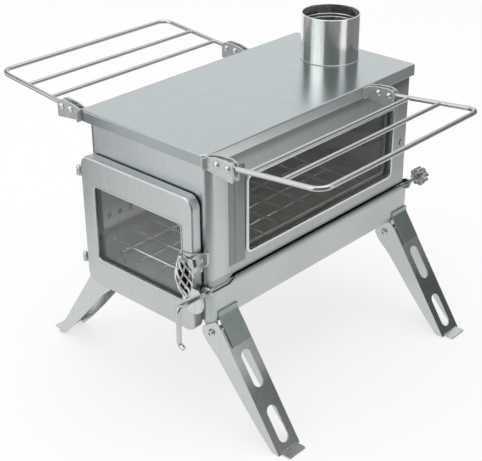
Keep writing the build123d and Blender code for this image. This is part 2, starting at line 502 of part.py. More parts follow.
skirt_x = LID_W / 2
cheek = polygon([(0, 3.0), (12, 6.0), (27, 7.0), (33, 5.0), (34.5, 1.0), (34.5, -12.5), (11, -9.8),
                 (0, -8.0)], 1.8)
cheek = Pos(skirt_x, SHELF_PIN_Z) * cheek
shelf_brackets, shelf_pins = [], []
for y in (SHELF_Y0, SHELF_Y1):
    bracket = block(skirt_x, skirt_x + SHEET, y - CHEEK_OUT - 4, y + CHEEK_OUT + 4,
                    SHELF_PIN_Z - 9, SHELF_PIN_Z + 3)
    for y0 in (y - CHEEK_OUT, y + CHEEK_IN):
        bracket += facing_y(cheek, y0, y0 + CHEEK_OUT - CHEEK_IN)
    for x in (SHELF_PIVOT_X, SHELF_STOP_X):
        bracket -= bar_y(x, SHELF_PIN_Z, SHELF_PIN_R, y - 8, y + 8)
        pin = bar_y(x, SHELF_PIN_Z, SHELF_PIN_R, y - CHEEK_OUT, y + CHEEK_OUT)
        for way in (-1, 1):
            pin += dome_y(x, y + way * CHEEK_OUT, SHELF_PIN_Z, 3.6, 2.2, way)
        shelf_pins += [pin, left(pin)]
    shelf_brackets += [bracket, left(bracket)]
save("shelf_brackets", *shelf_brackets)
save("shelf_pins", *shelf_pins)
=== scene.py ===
"""A folding tent wood stove in stainless sheet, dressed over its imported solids.

Each sub-assembly of the stove is a class below. It keeps the sizes of what it adds, dresses the
solids that belong to it and models the small parts that the solids leave out. Lengths are in
metres unless a name ends in _mm.
"""
import logging
import math
from dataclasses import dataclass
from enum import Enum
from typing import Callable, Dict, List, Optional, Sequence, Tuple

import bmesh
import bpy
from mathutils import Matrix, Vector


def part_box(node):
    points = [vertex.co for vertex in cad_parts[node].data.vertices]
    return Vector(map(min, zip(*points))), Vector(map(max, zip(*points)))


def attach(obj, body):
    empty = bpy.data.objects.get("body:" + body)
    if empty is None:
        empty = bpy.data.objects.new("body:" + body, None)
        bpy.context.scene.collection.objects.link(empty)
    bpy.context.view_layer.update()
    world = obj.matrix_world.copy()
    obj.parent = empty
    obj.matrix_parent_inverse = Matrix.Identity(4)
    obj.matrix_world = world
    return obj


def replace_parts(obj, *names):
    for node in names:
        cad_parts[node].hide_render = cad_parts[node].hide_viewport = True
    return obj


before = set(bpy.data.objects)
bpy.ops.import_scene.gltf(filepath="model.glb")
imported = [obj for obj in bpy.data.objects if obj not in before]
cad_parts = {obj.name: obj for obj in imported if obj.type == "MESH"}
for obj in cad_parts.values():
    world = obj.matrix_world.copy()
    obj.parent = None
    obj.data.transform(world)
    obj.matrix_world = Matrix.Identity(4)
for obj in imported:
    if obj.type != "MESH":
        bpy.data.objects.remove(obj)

LOG = logging.getLogger("tent_stove")
MM = 0.001
NEAR = 0.01 * MM
PROUD = 0.02 * MM
QUARTER = math.pi / 2
FULL = 2 * math.pi

Pair = Tuple[float, float]
Colour = Tuple[float, float, float]
Point = Tuple[float, float, float]
Material = bpy.types.Material
Node = bpy.types.Node
Socket = bpy.types.NodeSocket
Sockets = Dict[str, Socket]

# Edges blend towards this light colour: partly wear, partly a painted highlight.
WORN_EDGE_AND_SHEEN: Colour = (0.86, 0.88, 0.89)
DARK_SOOT: Colour = (0.018, 0.016, 0.014)


class Grain(Enum):
    """The way the brushing runs on a sheet, as the scale of the pattern along X, Y and Z."""

    ALONG_Y = (1.0, 0.05, 1.0)
    ALONG_Z = (1.0, 1.0, 0.05)
    NONE = (1.0, 1.0, 1.0)


def srgb(*channels: float) -> Colour:
    """Turn a colour as seen on a screen into the linear colour that a shader takes.

    Args:
        channels: Red, green and blue from 0 to 255.

    Returns:
        The linear red, green and blue.
    """
    parts = [channel / 255.0 for channel in channels]
    return tuple(part / 12.92 if part <= 0.04045 else ((part + 0.055) / 1.055) ** 2.4
                 for part in parts)


class Graph:
    """Adds nodes to one node tree and joins them."""

    def __init__(self, tree: bpy.types.NodeTree) -> None:
        """Keep the tree that the nodes go into, and its Principled shader where it has one."""
        self.tree = tree
        self.shader = tree.nodes.get("Principled BSDF")

    def add(self, kind: str, inputs: Optional[Dict[object, object]] = None,
            **settings: object) -> Node:
        """Add a node.

        Args:
            kind: The node's type name in Blender.
            inputs: Values or sockets for the node's inputs, by name or number.
            settings: Properties of the node itself.

        Returns:
            The new node.
        """
        node = self.tree.nodes.new(kind)
        for name, value in settings.items():
            setattr(node, name, value)
        self.fill(node, inputs or {})
        return node

    def fill(self, node: Node, inputs: Dict[object, object]) -> None:
        """Feed several inputs of a node, by name or number."""
        for name, value in inputs.items():
            self.feed(node.inputs[name], value)

    def feed(self, socket: Socket, value: object) -> None:
        """Join a socket to an input, or set the input to a plain value."""
        if isinstance(value, Socket):
            self.tree.links.new(value, socket)
        else:
            socket.default_value = value

    def group(self, tree: bpy.types.NodeTree, **inputs: object) -> Sockets:
        """Add a node group with its inputs fed, and return its outputs."""
        return self.add("ShaderNodeGroup", inputs, node_tree=tree).outputs

    def noise(self, vector: object, scale: object, detail: float, **more: float) -> Socket:
        """Add a noise texture and return its grey value."""
        inputs = {"Vector": vector, "Scale": scale, "Detail": detail, **more}
        return self.add("ShaderNodeTexNoise", inputs).outputs[0]

    def math(self, way: str, first: object, second: object = 0.0, clamp: bool = False) -> Socket:
        """Put two numbers through a Math node, held between 0 and 1 where clamp is set."""
        node = self.add("ShaderNodeMath", {0: first, 1: second}, operation=way, use_clamp=clamp)
        return node.outputs[0]

    def times(self, first: object, second: object, clamp: bool = False) -> Socket:
        """Multiply two numbers."""
        return self.math("MULTIPLY", first, second, clamp)

    def weigh(self, first: object, share: float, second: object, rest: float) -> Socket:
        """Add two numbers, each by its own share."""
        return self.math("ADD", self.times(first, share), self.times(second, rest))

    def blend(self, factor: object, first: object, second: object) -> Socket:
        """Mix two colours.

        Args:
            factor: 0 for the first colour and 1 for the second.
            first: The first colour or socket.
            second: The second colour or socket.

        Returns:
            The socket that holds the mixed colour.
        """
        node = self.add("ShaderNodeMix", data_type="RGBA")
        for number, value in ((0, factor), (6, first), (7, second)):
            self.feed(node.inputs[number], (*value, 1.0) if isinstance(value, tuple) else value)
        return node.outputs[2]

    def span(self, value: object, low: float, high: float, to_low: float = 0.0,
             to_high: float = 1.0) -> Socket:
        """Stretch a number from low and high to to_low and to_high, held at its ends."""
        inputs = {0: value, 1: low, 2: high, 3: to_low, 4: to_high}
        return self.add("ShaderNodeMapRange", inputs, interpolation_type="SMOOTHSTEP").outputs[0]

    def part(self, vector: Socket, axis: str) -> Socket:
        """Take the X, Y or Z part of a vector."""
        return self.add("ShaderNodeSeparateXYZ", {0: vector}).outputs[axis]

    def facing(self, place: Node, axis: str) -> Socket:
        """Mask the faces that look along an axis, either way."""
        turned = self.part(place.outputs["Normal"], axis)
        return self.span(self.math("ABSOLUTE", turned), 0.5, 0.95)


def make_group(name: str, inputs: Dict[str, Optional[float]], outputs: Sequence[str],
               fill: Callable[[Graph, Sockets], Sockets]) -> bpy.types.NodeTree:
    """Build a shader node group once.

    Args:
        name: The group's name.
        inputs: The first value of each input, or None for a vector.
        outputs: The name of each output, of which only Normal is a vector.
        fill: Builds the inside from a graph and the group's inputs, and returns what comes out.

    Returns:
        The group's node tree.
    """
    if name in bpy.data.node_groups:
        return bpy.data.node_groups[name]
    tree = bpy.data.node_groups.new(name, "ShaderNodeTree")
    for title, value in inputs.items():
        kind = "NodeSocketVector" if value is None else "NodeSocketFloat"
        socket = tree.interface.new_socket(title, in_out="INPUT", socket_type=kind)
        if value is not None:
            socket.default_value = value
    for title in outputs:
        kind = "NodeSocketVector" if title == "Normal" else "NodeSocketFloat"
        tree.interface.new_socket(title, in_out="OUTPUT", socket_type=kind)
    graph = Graph(tree)
    made = fill(graph, graph.add("NodeGroupInput").outputs)
    graph.fill(graph.add("NodeGroupOutput"), made)
    return tree


def brushed_group() -> bpy.types.NodeTree:
    """The fine parallel scratches of a brushed sheet."""

    def fill(graph: Graph, given: Sockets) -> Sockets:
        """Lay long streaks over short ones."""
        vector, fine = given["Vector"], given["Fineness"]
        short = graph.noise(vector, fine, 3.0, Roughness=0.6)
        long = graph.noise(vector, graph.times(fine, 0.16), 2.0)
        mixed = graph.weigh(short, 0.6, long, 0.4)
        return {"Tone": graph.span(mixed, 0.36, 0.64), "Height": mixed}

    return make_group("brushed scratches", {"Vector": None, "Fineness": 900.0}, ("Tone", "Height"), fill)


def handling_group() -> bpy.types.NodeTree:
    """The soft patches that hands leave on bare metal."""

    def fill(graph: Graph, given: Sockets) -> Sockets:
        """Mix a broad cloud with a finer one."""
        vector, size = given["Vector"], given["Size"]
        broad = graph.noise(vector, size, 3.0, Distortion=0.4)
        fine = graph.noise(vector, graph.times(size, 5.0), 4.0)
        return {"Mask": graph.span(graph.weigh(broad, 0.75, fine, 0.25), 0.38, 0.64)}

    return make_group("handling marks", {"Vector": None, "Size": 9.0}, ("Mask",), fill)


def edge_group() -> bpy.types.NodeTree:
    """A rounded normal at sharp edges, with a mask of where they are, which lightens them as wear and as a
    painted highlight.
    """

    def fill(graph: Graph, given: Sockets) -> Sockets:
        """Compare the rounded normal with the flat one."""
        rounded = graph.add("ShaderNodeBevel", {"Radius": given["Radius"]}, samples=6).outputs[0]
        flat = graph.add("ShaderNodeNewGeometry").outputs["Normal"]
        turn = graph.add("ShaderNodeVectorMath", {0: rounded, 1: flat}, operation="DOT_PRODUCT")
        return {"Mask": graph.span(turn.outputs["Value"], 0.999, 0.93), "Normal": rounded}

    return make_group("edge wear and sheen", {"Radius": 0.0006}, ("Mask", "Normal"), fill)


def soot_group() -> bpy.types.NodeTree:
    """Soot and brown tar that gathers in flecks and drifts."""

    def fill(graph: Graph, given: Sockets) -> Sockets:
        """Break a broad cloud up with flecks."""
        vector = given["Vector"]
        cloud = graph.noise(vector, 14.0, 6.0, Roughness=0.65)
        fleck = graph.add("ShaderNodeTexVoronoi", {"Vector": vector, "Scale": 160.0}).outputs[0]
        broken = graph.math("ADD", cloud, graph.times(fleck, 0.10))
        return {"Mask": graph.times(graph.span(broken, 0.42, 0.72), given["Amount"], clamp=True)}

    return make_group("soot drift", {"Vector": None, "Amount": 0.5}, ("Mask",), fill)


def weave_group() -> bpy.types.NodeTree:
    """The plaited strands of a rope seal."""

    def fill(graph: Graph, given: Sockets) -> Sockets:
        """Cross two slanted sets of waves."""
        waves = []
        for turn in (0.8, -0.8):
            slant = {"Vector": given["Vector"], "Rotation": (turn, turn, 0.0)}
            inputs = {"Vector": graph.add("ShaderNodeMapping", slant).outputs[0],
                      "Scale": given["Fineness"], "Distortion": 1.2, "Detail": 2.0}
            waves.append(graph.add("ShaderNodeTexWave", inputs).outputs["Fac"])
        return {"Height": graph.math("MAXIMUM", *waves), "Tone": graph.times(*waves)}

    return make_group("plaited strands", {"Vector": None, "Fineness": 160.0}, ("Tone", "Height"), fill)


@dataclass(frozen=True)
class PaintedShade:
    """Painted light or shade: a slow change of tone along one axis, on every face or only on those that
    face along another.
    """

    axis: str
    start_mm: float
    end_mm: float
    tone: Colour
    amount: float = 1.0
    facing: str = ""

    def lay(self, graph: Graph, place: Node, colour: Socket) -> Socket:
        """Lay the painted light or shade over a colour.

        Args:
            graph: The graph of the material.
            place: The texture coordinates of the material.
            colour: The colour so far.

        Returns:
            The colour with the change.
        """
        along = graph.part(place.outputs["Object"], self.axis)
        shade = graph.span(along, self.start_mm * MM, self.end_mm * MM, 0.0, self.amount)
        if self.facing:
            shade = graph.times(shade, graph.facing(place, self.facing))
        return graph.blend(shade, colour, self.tone)


def new_material(name: str) -> Tuple[Material, Graph]:
    """Make a material.

    Args:
        name: The material's name.

    Returns:
        The material and its graph.
    """
    material = bpy.data.materials.new(name)
    material.use_nodes = True
    return material, Graph(material.node_tree)


@dataclass(frozen=True)
class Finish:
    """A surface that builds its own material once."""

    name: str

    def build(self) -> Material:
        """Make the material, or find the one that is already there.

        Returns:
            The material.
        """
        if self.name in bpy.data.materials:
            return bpy.data.materials[self.name]
        material, graph = new_material(self.name)
        self.shade(graph)
        return material

    def shade(self, graph: Graph) -> None:
        """Fill the material's graph, which each kind of finish does its own way."""
        raise NotImplementedError


@dataclass(frozen=True)
class Steel(Finish):
    """A stainless finish: its colours, its brushing, how it reflects, and the light and shade painted into
    its colour.
    """

    dark: Colour
    light: Colour
    metal: float = 1.0
    rough: float = 0.32
    rough_spread: float = 0.08
    grain: Grain = Grain.ALONG_Y
    fineness: float = 1500.0
    scratch_mm: float = 0.004
    marks: float = 9.0
    mark_depth: float = 0.06
    mark_tone: float = 0.55
    mark_rough: float = 0.05
    # edge: how far edges blend to the light edge colour, as wear and painted highlight.
    edge: float = 0.55
    edge_mm: float = 0.6
    # Painted shade: faces looking along X take these darker copies of the colours.
    painted_side_dark: Optional[Colour] = None
    painted_side_light: Optional[Colour] = None
    # edge_sheen: a painted edge highlight, made by taking metal away at the edges so that they render
    # light.
    edge_sheen: float = 0.0
    # Painted light and shade laid over the colour, each along one axis.
    drifts: Tuple[PaintedShade, ...] = ()
    soot: float = 0.0
    soot_rough: float = 0.35
    soot_colour: Colour = (0.030, 0.024, 0.018)

    def shade(self, graph: Graph) -> None:
        """Lay brushing, handling marks, edge wear with a painted edge highlight, painted side shade,
        painted light and shade along the axes, and soot.

        Args:
            graph: The material's graph.
        """
        place = graph.add("ShaderNodeTexCoord")
        here = place.outputs["Object"]
        stretched = graph.add("ShaderNodeMapping", {"Vector": here, "Scale": self.grain.value})
        brushed = graph.group(brushed_group(), Vector=stretched.outputs[0], Fineness=self.fineness)
        marks = graph.group(handling_group(), Vector=here, Size=self.marks)["Mask"]
        edge = graph.group(edge_group(), Radius=self.edge_mm * MM)
        colour = graph.blend(brushed["Tone"], self.dark, self.light)
        # Painted shade: faces looking along X take the darker side colours.
        if self.painted_side_dark and self.painted_side_light:
            side = graph.blend(brushed["Tone"], self.painted_side_dark, self.painted_side_light)
            colour = graph.blend(graph.facing(place, "X"), colour, side)
        dulled = tuple(part * self.mark_tone for part in self.dark)
        colour = graph.blend(graph.times(marks, self.mark_depth), colour, dulled)
        # Edge wear and a painted edge highlight: edges blend towards a light colour.
        colour = graph.blend(graph.times(edge["Mask"], self.edge), colour, WORN_EDGE_AND_SHEEN)
        # Painted light and shade, laid along the stove's axes.
        for drift in self.drifts:
            colour = drift.lay(graph, place, colour)
        rough = graph.math("ADD", graph.times(brushed["Tone"], self.rough_spread),
                           self.rough - self.rough_spread / 2)
        rough = graph.math("ADD", rough, graph.times(marks, self.mark_rough))
        metal = self.metal
        if self.soot:
            soot = graph.group(soot_group(), Vector=here, Amount=self.soot)["Mask"]
            colour = graph.blend(soot, colour, self.soot_colour)
            rough = graph.math("ADD", rough, graph.times(soot, self.soot_rough), clamp=True)
            metal = graph.times(graph.math("SUBTRACT", 1.0, soot), self.metal)
        # Painted edge highlight: less metal at the edges makes them render light.
        elif self.edge_sheen:
            worn_and_sheen = graph.times(edge["Mask"], self.edge_sheen)
            metal = graph.math("SUBTRACT", self.metal, worn_and_sheen, clamp=True)
        bump = graph.add("ShaderNodeBump", {"Height": brushed["Height"], "Normal": edge["Normal"],
                                            "Distance": self.scratch_mm * MM, "Strength": 1.0})
        graph.fill(graph.shader, {"Base Color": colour, "Roughness": rough, "Metallic": metal,
                                  "Normal": bump.outputs[0]})


@dataclass(frozen=True)
class Glass(Finish):
    """A heat-proof pane, tinted, with a haze of soot that thickens in drifts."""

    tint: Colour
    haze: Colour
    soot: float = 0.35
    soot_rough: float = 0.22
    marks: float = 14.0
    mark_rough: float = 0.03
    tar_mm: Pair = (0.0, 0.0)
    tar: Colour = (0.20, 0.14, 0.055)
    tar_amount: float = 0.85
    tar_wave: float = 6.0 * MM
    bend: float = 1.47

    def shade(self, graph: Graph) -> None:
        """Lay haze and tar over the pane, and let the lamps shine through it.

        Args:
            graph: The material's graph.
        """
        graph.shader.inputs["Transmission Weight"].default_value = 1.0
        graph.shader.inputs["IOR"].default_value = self.bend
        here = graph.add("ShaderNodeTexCoord").outputs["Object"]
        soot = graph.group(soot_group(), Vector=here, Amount=self.soot)["Mask"]
        marks = graph.group(handling_group(), Vector=here, Size=self.marks)["Mask"]
        colour = graph.blend(soot, self.tint, self.haze)
        low, high = self.tar_mm
        if high > low:
            uneven = graph.math("ADD", graph.part(here, "Z"), graph.times(marks, self.tar_wave))
            drift = graph.span(uneven, low * MM, high * MM, self.tar_amount, 0.0)
            colour = graph.blend(drift, colour, self.tar)
        rough = graph.weigh(soot, self.soot_rough, marks, self.mark_rough)
        graph.fill(graph.shader, {"Base Color": colour, "Roughness": rough})
        once = tuple(math.sqrt(part) for part in self.tint)
        clear = graph.add("ShaderNodeBsdfTransparent", {"Color": (*once, 1.0)})
        path = graph.add("ShaderNodeLightPath").outputs
        indirect = graph.math("MAXIMUM", path["Is Shadow Ray"], path["Is Diffuse Ray"])
        either = graph.add("ShaderNodeMixShader",
                           {0: indirect, 1: graph.shader.outputs[0], 2: clear.outputs[0]})
        graph.feed(graph.tree.nodes["Material Output"].inputs["Surface"], either.outputs[0])


@dataclass(frozen=True)
class Rope(Finish):
    """Plaited glass-fibre rope, grey and sooted."""

    light: Colour
    dark: Colour
    soot: float = 0.8
    strand_mm: float = 0.6

    def shade(self, graph: Graph) -> None:
        """Plait the strands and soot them.

        Args:
            graph: The material's graph.
        """
        here = graph.add("ShaderNodeTexCoord").outputs["Object"]
        weave = graph.group(weave_group(), Vector=here)
        soot = graph.group(soot_group(), Vector=here, Amount=self.soot)["Mask"]
        colour = graph.blend(soot, graph.blend(weave["Tone"], self.dark, self.light), DARK_SOOT)
        bump = graph.add("ShaderNodeBump", {"Height": weave["Height"], "Distance": self.strand_mm * MM})
        graph.fill(graph.shader, {"Base Color": colour, "Roughness": 0.92, "Sheen Weight": 0.2,
                                  "Normal": bump.outputs[0]})


# Painted reflection: faces looking along Y are shaded darker and faces looking along X lit lighter; the
# edges take a painted highlight.
LID_STEEL = Steel(
    "lid steel", srgb(181, 189, 191), srgb(185, 193, 195), rough=0.20, rough_spread=0.006,
    scratch_mm=0.0008, mark_depth=0.04, edge=0.9, edge_sheen=0.75,
    drifts=(PaintedShade("Z", 0.0, 1.0, srgb(158, 165, 166), 0.8, "Y"),
            PaintedShade("Z", 0.0, 1.0, srgb(228, 234, 234), 0.9, "X")))
# Painted shade on faces looking along X: darker side colours, a painted highlight towards the front
# corner, and painted shadow under the lid's skirt and towards the foot above the slot.
BODY_STEEL = Steel(
    "body steel", srgb(192, 198, 199), srgb(198, 204, 205), rough=0.34, grain=Grain.ALONG_Z,
    painted_side_dark=srgb(172, 177, 175), painted_side_light=srgb(182, 187, 185),
    drifts=(PaintedShade("Y", -122.0, -138.0, srgb(208, 214, 214), 0.65, "X"),
            PaintedShade("Z", 271.0, 280.0, (0.082, 0.087, 0.085), 0.45, "X"),
            PaintedShade("Z", 165.0, 160.5, (0.082, 0.087, 0.085), 0.35, "X")))
# Painted shadow: the band darkens towards its top edge, under the slot below the shell.
BAND_STEEL = Steel(
    "base band steel", srgb(191, 197, 197), srgb(197, 203, 203), rough=0.36,
    drifts=(PaintedShade("Z", 150.5, 157.6, (0.062, 0.067, 0.067), 0.68),))
# Painted shade: the door's side faces darken towards the bottom, under the latch.
DOOR_STEEL = Steel(
    "door steel", srgb(191, 196, 196), srgb(199, 203, 203), rough=0.34, grain=Grain.ALONG_Z,
    drifts=(PaintedShade("Z", 186.0, 166.0, srgb(92, 97, 96), 0.6, "X"),))
RIM_STEEL = Steel(
    "rolled rim steel", srgb(206, 211, 211), srgb(214, 218, 218), rough=0.20, rough_spread=0.03,
    scratch_mm=0.001)
LIP_STEEL = Steel(
    "window lip steel", srgb(182, 187, 187), srgb(194, 199, 199), rough=0.13, rough_spread=0.02,
    grain=Grain.NONE, scratch_mm=0.001, edge=0.2)
SEAM_STEEL = Steel("seam steel", srgb(132, 138, 137), srgb(142, 148, 147), rough=0.34, grain=Grain.ALONG_Z)
POLISHED = Steel(
    "polished steel", srgb(232, 234, 230), srgb(243, 245, 242), rough=0.15, rough_spread=0.03,
    grain=Grain.ALONG_Z, fineness=700.0, scratch_mm=0.001, mark_depth=0.03)
HARDWARE = Steel(
    "turned steel hardware", srgb(196, 200, 200), srgb(216, 219, 218), rough=0.20, grain=Grain.NONE)
BRACKET_STEEL = Steel(
    "bracket steel", srgb(176, 181, 179), srgb(196, 200, 198), metal=0.6, rough=0.30, grain=Grain.NONE,
    fineness=420.0)
WIRE_STEEL = Steel(
    "drawn wire steel", srgb(190, 193, 191), srgb(198, 201, 199), rough=0.20, rough_spread=0.03,
    grain=Grain.NONE, scratch_mm=0.001)
CAGE_STEEL = Steel(
    "bright cage wire", srgb(176, 180, 178), srgb(242, 244, 243), metal=0.75, rough=0.16, grain=Grain.NONE,
    fineness=240.0, scratch_mm=0.006, edge=0.2)
# Painted reflection and shade: faces looking along X are dark, lighter on the rear legs and towards the
# top.
LEG_STEEL = Steel(
    "leg steel", srgb(200, 205, 205), srgb(208, 212, 211), rough=0.24, grain=Grain.ALONG_Z,
    painted_side_dark=srgb(94, 101, 99), painted_side_light=srgb(104, 111, 109),
    drifts=(PaintedShade("Y", -60.0, 90.0, srgb(150, 158, 156), 1.0, "X"),
            PaintedShade("Z", 52.0, 84.0, srgb(214, 220, 219), 0.95, "X")))
# Painted shade: the stops' side faces darken towards the bottom.
STOP_STEEL = Steel(
    "leg stop steel", srgb(160, 170, 168), srgb(171, 181, 179), rough=0.40, grain=Grain.ALONG_Z,
    drifts=(PaintedShade("Z", 100.0, 78.0, srgb(140, 149, 147), 0.5, "X"),))
# Near-black steel: painted shade inside the bolt sockets, and the dark tint of the weld bead.
SOCKET_SHADE_AND_BEAD_STEEL = Steel("socket shade and weld bead steel", srgb(52, 54, 53), srgb(70, 72, 70), rough=0.45, grain=Grain.NONE)
# Painted shade: the liners darken towards the top of the firebox.
INNER_STEEL = Steel(
    "heat-dulled inner steel", srgb(204, 207, 203), srgb(218, 221, 218), metal=0.30, rough=0.40,
    mark_depth=0.22, soot=0.12, soot_colour=(0.022, 0.024, 0.022), edge=0.15,
    drifts=(PaintedShade("Z", 166.0, 192.0, srgb(100, 110, 111), 0.85),))
# Painted light: the floor lightens towards the door.
FLOOR_STEEL = Steel(
    "ash-greyed floor steel", srgb(150, 154, 146), srgb(172, 176, 168), metal=0.25, rough=0.48,
    mark_depth=0.30, soot=0.20, soot_colour=(0.026, 0.028, 0.026), edge=0.1,
    drifts=(PaintedShade("Y", 40.0, -110.0, srgb(226, 233, 233), 0.85),))
SCORCHED = Steel(
    "scorched baffle steel", srgb(44, 45, 42), srgb(64, 65, 61), metal=0.5, rough=0.5, soot=0.4, edge=0.1)
# Painted shade: a near-black matte strip laid along a shaded line on the firebox's rear wall.
SHADE_STRIP_STEEL = Steel(
    "painted shade strip steel", srgb(13, 13, 12), srgb(22, 22, 20), metal=0.0, rough=0.85, grain=Grain.NONE,
    edge=0.0)
# Painted shade: the near-black core darkens the gaps between the cage's wires.
CAGE_SHADE_CORE_STEEL = Steel(
    "cage shade core steel", srgb(22, 23, 22), srgb(36, 38, 36), rough=0.5, grain=Grain.NONE, edge=0.0)
GRATE_STEEL = Steel(
    "grate rod steel", srgb(206, 211, 210), srgb(232, 236, 234), metal=0.92, rough=0.16, grain=Grain.NONE,
    soot=0.05, edge=0.1)
KNOB_STEEL = Steel(
    "star knob steel", srgb(112, 116, 115), srgb(234, 237, 236), rough=0.13, grain=Grain.NONE,
    fineness=210.0, scratch_mm=0.004, edge=0.35)
SIDE_PANE = Glass(
    "side pane glass", (0.96, 0.965, 0.92), (0.60, 0.57, 0.46), soot=0.20, tar_mm=(176.0, 184.0),
    bend=1.22)
DOOR_PANE = Glass("door pane glass", (0.915, 0.945, 0.945), (0.58, 0.59, 0.565), soot=0.16)
ROPE = Rope("rope seal", (0.16, 0.15, 0.13), (0.035, 0.032, 0.028))


def calm() -> None:
    """Leave edit mode and deselect everything."""
    if bpy.context.object and bpy.context.object.mode != "OBJECT":
        bpy.ops.object.mode_set(mode="OBJECT")
    bpy.ops.object.select_all(action="DESELECT")


def settle(scale: Point = (1.0, 1.0, 1.0)) -> None:
    """Scale the active object, then bake its place, turn and scale into its mesh."""
    bpy.context.object.scale = scale
    bpy.ops.object.transform_apply(location=True, rotation=True, scale=True)


class Piece:
    """A new part of the stove that is being modelled, with its mesh in edit mode."""

    def __init__(self, name: str) -> None:
        """Name the mesh that was just added and open it with all of it selected.

        Args:
            name: The piece's name.
        """
        self.thing = bpy.context.object
        self.thing.name = name
        self.thing.data.name = name
        bpy.ops.object.mode_set(mode="EDIT")
        self.take_all()

    def take_all(self) -> None:
        """Select the whole mesh."""
        bpy.ops.mesh.select_all(action="SELECT")

    def pick(self, want: Callable[[Vector], bool], kind: str = "VERT") -> None:
        """Select what lies where want says, by the middle of each vertex, edge or face.

        Args:
            want: Tells of a place whether it is wanted.
            kind: VERT, EDGE or FACE.
        """
        bpy.ops.mesh.select_mode(type=kind)
        bpy.ops.mesh.select_all(action="DESELECT")
        mesh = bmesh.from_edit_mesh(self.thing.data)
        for item in {"VERT": mesh.verts, "EDGE": mesh.edges, "FACE": mesh.faces}[kind]:
            places = [item.co] if kind == "VERT" else [corner.co for corner in item.verts]
            if want(sum(places, Vector()) / len(places)):
                item.select_set(True)
        mesh.select_flush_mode()
        bmesh.update_edit_mesh(self.thing.data)

    def pull(self, x: float, y: float, z: float, edges: bool = False) -> None:
        """Extrude the selected faces, or the selected edges alone."""
        extrude = bpy.ops.mesh.extrude_edges_move if edges else bpy.ops.mesh.extrude_region_move
        extrude(TRANSFORM_OT_translate={"value": (x, y, z)})

    def spin(self, centre: Point, axis: Point, steps: int, angle: float = FULL) -> None:
        """Sweep the section round an axis and clean the result.

        Args:
            centre: A point of the axis.
            axis: The way that the axis runs.
            steps: How many steps the sweep has.
            angle: How far it goes, in radians.
        """
        bpy.ops.mesh.spin(steps=steps, angle=angle, center=centre, axis=axis)
        self.tidy_normals()

    def tidy_normals(self) -> None:
        """Merge doubles and turn every face outwards."""
        self.take_all()
        bpy.ops.mesh.remove_doubles(threshold=1e-6)
        bpy.ops.mesh.normals_make_consistent(inside=False)

    def thicken(self, thick: float) -> None:
        """Give a sheet its thickness.

        Args:
            thick: How far it grows outwards.
        """
        calm()
        bpy.context.view_layer.objects.active = self.thing
        self.thing.select_set(True)
        wall = self.thing.modifiers.new("wall", "SOLIDIFY")
        wall.thickness, wall.offset, wall.use_even_offset = thick, 1.0, True
        bpy.ops.object.modifier_apply(modifier=wall.name)

    def close(self, finish: Finish, body: str = "base", slot: str = "polished_steel",
              smooth: float = 0.6) -> bpy.types.Object:
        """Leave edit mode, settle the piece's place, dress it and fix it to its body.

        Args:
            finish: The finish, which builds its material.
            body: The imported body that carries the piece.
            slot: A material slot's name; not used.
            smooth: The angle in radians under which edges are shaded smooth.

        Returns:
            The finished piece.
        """
        calm()
        self.thing.select_set(True)
        bpy.context.view_layer.objects.active = self.thing
        settle()
        bpy.ops.object.shade_smooth_by_angle(angle=smooth)
        self.thing.data.materials.clear()
        self.thing.data.materials.append(finish.build())
        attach(self.thing, body)
        LOG.info("made %s on %s", self.thing.name, body)
        return self.thing


def plate(name: str, across: Pair, up: Pair, depth: float,
          facing: str) -> Piece:
    """Lay an upright plane that faces -Y or +X, ready to be shaped.

    Args:
        name: The piece's name.
        across: Its limits along X, or along Y when it faces X.
        up: Its limits along Z.
        depth: Where it stands along the way that it faces.
        facing: X or Y, the axis that it faces along.

    Returns:
        The open piece, selected.
    """
    calm()
    middle, height = sum(across) / 2, sum(up) / 2
    at = (middle, depth, height) if facing == "Y" else (depth, middle, height)
    turn = (QUARTER, 0.0, 0.0 if facing == "Y" else QUARTER)
    bpy.ops.mesh.primitive_plane_add(size=1.0, location=at, rotation=turn)
    settle((across[1] - across[0], up[1] - up[0], 1.0))
    return Piece(name)


def section(name: str, at: Point, radius: float, vertices: int, turn: Point = (0.0, 0.0, 0.0),
            filled: bool = True, scale: Point = (1.0, 1.0, 1.0)) -> Piece:
    """Lay the round section that a piece is spun or drawn from.

    Args:
        name: The piece's name.
        at: The middle of the section.
        radius: Its radius.
        vertices: How many corners it has.
        turn: How it is turned from lying flat.
        filled: Whether it is a face, and not a bare ring of edges.
        scale: How it is squashed along its own axes.

    Returns:
        The open piece, selected.
    """
    calm()
    bpy.ops.mesh.primitive_circle_add(vertices=vertices, radius=radius, location=at, rotation=turn,
                                      fill_type="NGON" if filled else "NOTHING")
    settle(scale)
    return Piece(name)


def drawn_wire(name: str, places: Sequence[Vector], thick: float, turn: Point = (0.0, 0.0, 0.0)) -> Piece:
    """Draw a round wire through some places.

    Args:
        name: The piece's name.
        places: The places in order.
        thick: The wire's thickness.
        turn: How the first section is turned from lying flat.

    Returns:
        The open piece.
    """
    wire = section(name, places[0], thick / 2, 8, turn)
    for here, there in zip(places, places[1:]):
        wire.pull(*(there - here))
    wire.tidy_normals()
    return wire


Looks = Tuple[tuple, ...]


@dataclass
class SubAssembly:
    """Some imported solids, listed by name after their finish, and what is modelled on them."""

    looks: Looks = ()

    def make(self) -> None:
        """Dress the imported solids, then model what they leave out."""
        for finish, *nodes in self.looks:
            for name in nodes:
                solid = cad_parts[name]
                solid.data.materials.clear()
                solid.data.materials.append(finish.build())
                LOG.info("dressed %s with %s", name, finish.name)
        self.model()

    def model(self) -> None:
        """Model what the solids leave out, where there is anything."""


